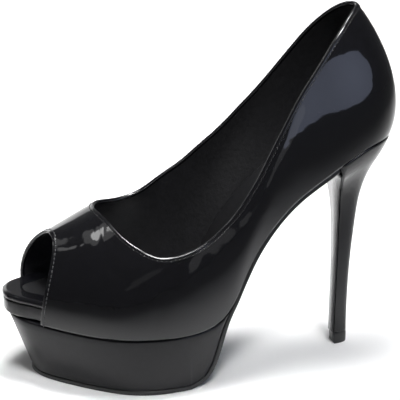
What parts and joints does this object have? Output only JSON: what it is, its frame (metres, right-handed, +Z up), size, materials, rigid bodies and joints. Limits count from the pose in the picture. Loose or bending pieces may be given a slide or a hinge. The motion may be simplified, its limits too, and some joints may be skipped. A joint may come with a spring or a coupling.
{
  "type": "peep toe platform pump",
  "caption": "Black patent peep-toe platform pump with a tall stiletto heel, hollow upper open at collar and toe, wrapped platform and thin rubber outsole; left shoe.",
  "frame": {"origin": "on the floor under the middle of the shoe's bounding box", "axes": "+X from the toe to the heel, +Y towards the medial (inner) side of the foot, +Z up"},
  "size_m": [0.2196, 0.0898, 0.1996],
  "materials": {
    "patent_upper": "black patent, mirror gloss",
    "patent_platform": "black patent, mirror gloss",
    "outsole_rubber": "matte",
    "patent_band": "black patent, gloss",
    "sock_lining": "matte, gloss at the toe",
    "patent_heel": "black patent, mirror gloss",
    "patent_breast": "black patent, gloss",
    "tip_rubber": "matte"
  },
  "bodies": {
    "root": {"upper": "patent_upper", "platform": "patent_platform", "outsole": "outsole_rubber", "insole_board": "patent_band", "insole": "sock_lining", "heel": "patent_heel", "heel_breast": "patent_breast", "heel_tip": "tip_rubber"}
  },
  "joints": []
}
